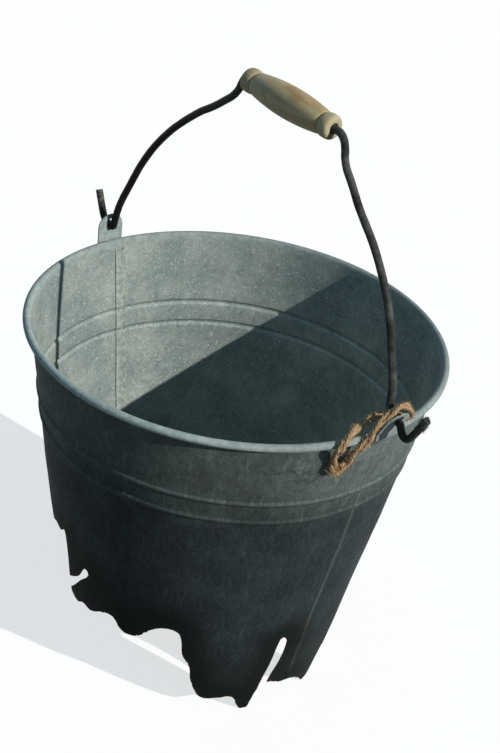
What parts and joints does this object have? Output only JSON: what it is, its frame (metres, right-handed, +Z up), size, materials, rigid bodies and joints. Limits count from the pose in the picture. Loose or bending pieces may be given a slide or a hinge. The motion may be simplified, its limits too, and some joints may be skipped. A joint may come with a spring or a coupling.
{
  "type": "weathered galvanised bucket",
  "caption": "Tapered galvanised sheet bucket with a wired rim, pressed beads and folded seams, its lower wall torn away, a wire bail, a turned wooden grip and twine tied at one ear.",
  "frame": {"origin": "on the bucket's axis, at the ground that the lowest torn teeth stand on", "axes": "+Z up along the bucket's axis, +X towards the right ear, so the bail's pivots lie along X. -Y is the front, the side with the deepest tear"},
  "size_m": [0.3615, 0.306, 0.454],
  "materials": {
    "weathered_zinc": "hot-dip galvanised sheet steel, dull and mottled, darkened by weather",
    "darkened_wire": "steel wire, darkened almost black",
    "grey_wood": "bare turned wood, greyed and stained",
    "jute_twine": "twisted jute, hairy and frayed"
  },
  "bodies": {
    "bucket": {"front_wall": "weathered_zinc", "back_wall": "weathered_zinc", "rim_wire": "weathered_zinc", "left_ear": "weathered_zinc", "right_ear": "weathered_zinc", "twine_loop": "jute_twine"},
    "bail": {"bail_wire": "darkened_wire"},
    "grip": {"wood_grip": "grey_wood"}
  },
  "joints": [
    {"name": "bail_swing", "type": "hinge", "parent": "bucket", "child": "bail", "pos_m": [0, 0, 0.2832], "axis": [1, 0, 0], "range_deg": [-85, 95]},
    {"name": "grip_spin", "type": "hinge", "parent": "bail", "child": "grip", "pos_m": [0.0025, 0.01396, 0.44279], "axis": [0.9998, -0.0017, -0.0191], "continuous": true}
  ]
}
